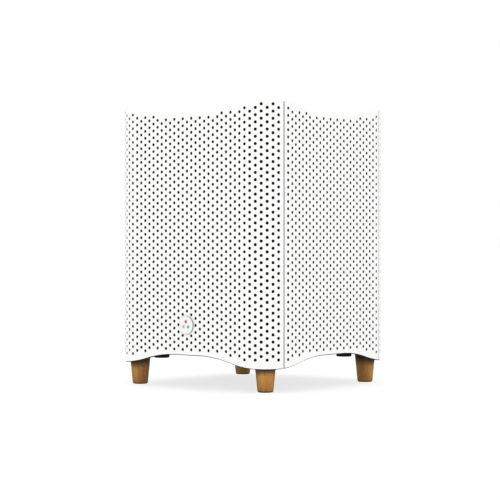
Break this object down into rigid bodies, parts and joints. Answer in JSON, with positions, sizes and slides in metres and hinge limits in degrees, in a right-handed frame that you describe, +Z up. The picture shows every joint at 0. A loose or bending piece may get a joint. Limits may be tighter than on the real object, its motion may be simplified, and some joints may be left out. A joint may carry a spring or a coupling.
{
  "type": "air purifier",
  "caption": "Square room air purifier: perforated white shell with wavy edges on turned wooden legs, rear filter door, drum filter, top-outlet fan and a front button.",
  "frame": {"origin": "on the floor, under the middle of the body", "axes": "+Z up; the front face with the button looks along -Y; the right face looks along +X"},
  "size_m": [0.2822, 0.2845, 0.3833],
  "materials": {
    "shell_white": "satin powder coat",
    "cover_white": "fine matt moulding",
    "liner_black": "black moulding",
    "frame_black": "black moulding",
    "seam_rubber": "matt grey",
    "pad_rubber": "matt black",
    "leg_wood": "oiled, upright grain",
    "zinc_steel": "zinc plated",
    "post_aluminium": "dark anodised",
    "magnet_metal": "nickel plated",
    "circuit_board": "green solder mask",
    "electric_parts": "black and metal cases",
    "filter_cap": "light grey moulding",
    "filter_paper": "pleated fibre",
    "carbon": "carbon-filled fleece",
    "filter_mesh": "woven mesh",
    "filter_foam": "closed-cell foam",
    "strap_fabric": "woven tape",
    "fan_grey": "glass-filled moulding",
    "shaft_steel": "ground steel",
    "motor_metal": "die cast",
    "motor_iron": "laminated core and magnets",
    "lamp_lens": "clear tinted lens"
  },
  "bodies": {
    "housing": {"base_pads": "pad_rubber", "base_tray": "frame_black", "bearing_lower": "shaft_steel", "bearing_upper": "shaft_steel", "button_board": "circuit_board", "button_bracket": "frame_black", "cover_screws": "zinc_steel", "deck_brackets": "zinc_steel", "deck_screws": "zinc_steel", "door_magnets": "magnet_metal", "fan_deck": "frame_black", "fan_duct": "frame_black", "filter_shelf": "frame_black", "front_liner": "liner_black", "front_panel": "shell_white", "left_liner": "liner_black", "left_panel": "shell_white", "leg_bolts": "zinc_steel", "leg_front_left": "leg_wood", "leg_front_right": "leg_wood", "leg_nuts": "zinc_steel", "leg_rear_left": "leg_wood", "leg_rear_right": "leg_wood", "motor_housing": "motor_metal", "motor_mount": "frame_black", "motor_screws": "zinc_steel", "motor_stator": "motor_iron", "outlet_grille": "frame_black", "panel_screws": "zinc_steel", "particle_sensor": "frame_black", "post_front_left": "post_aluminium", "post_front_right": "post_aluminium", "post_rear_left": "post_aluminium", "post_rear_right": "post_aluminium", "post_screws": "zinc_steel", "power_board": "circuit_board", "power_inlet": "frame_black", "power_parts": "electric_parts", "right_liner": "liner_black", "right_panel": "shell_white", "seam_strips": "seam_rubber", "top_cover": "cover_white", "top_frame": "frame_black", "touch_switch": "electric_parts"},
    "rear_door": {"back_panel": "shell_white", "back_liner": "liner_black", "catch_plates": "zinc_steel"},
    "filter": {"filter_cap_lower": "filter_cap", "filter_cap_upper": "filter_cap", "filter_media": "filter_paper", "pre_filter": "filter_mesh", "carbon_core": "carbon", "filter_seal": "filter_foam", "filter_strap": "strap_fabric"},
    "fan": {"impeller": "fan_grey", "fan_shaft": "shaft_steel", "hub_nut": "zinc_steel", "motor_rotor": "motor_iron"},
    "button": {"power_button": "cover_white", "button_lamps": "lamp_lens"}
  },
  "joints": [
    {"name": "rear_door_pull", "type": "slide", "parent": "housing", "child": "rear_door", "axis": [0, 1, 0], "range_m": [0, 0.4]},
    {"name": "filter_pull", "type": "slide", "parent": "housing", "child": "filter", "axis": [0, 1, 0], "range_m": [0, 0.26]},
    {"name": "fan_spin", "type": "hinge", "parent": "housing", "child": "fan", "pos_m": [0, 0, 0.29], "axis": [0, 0, 1], "continuous": true},
    {"name": "button_press", "type": "slide", "parent": "housing", "child": "button", "axis": [0, 1, 0], "range_m": [0, 0.0006], "stiffness_N_per_m": 800, "springref_m": -0.0004}
  ],
  "couplings": [
    {"joint": "filter_pull", "follows": "rear_door_pull", "ratio": 0.65}
  ]
}
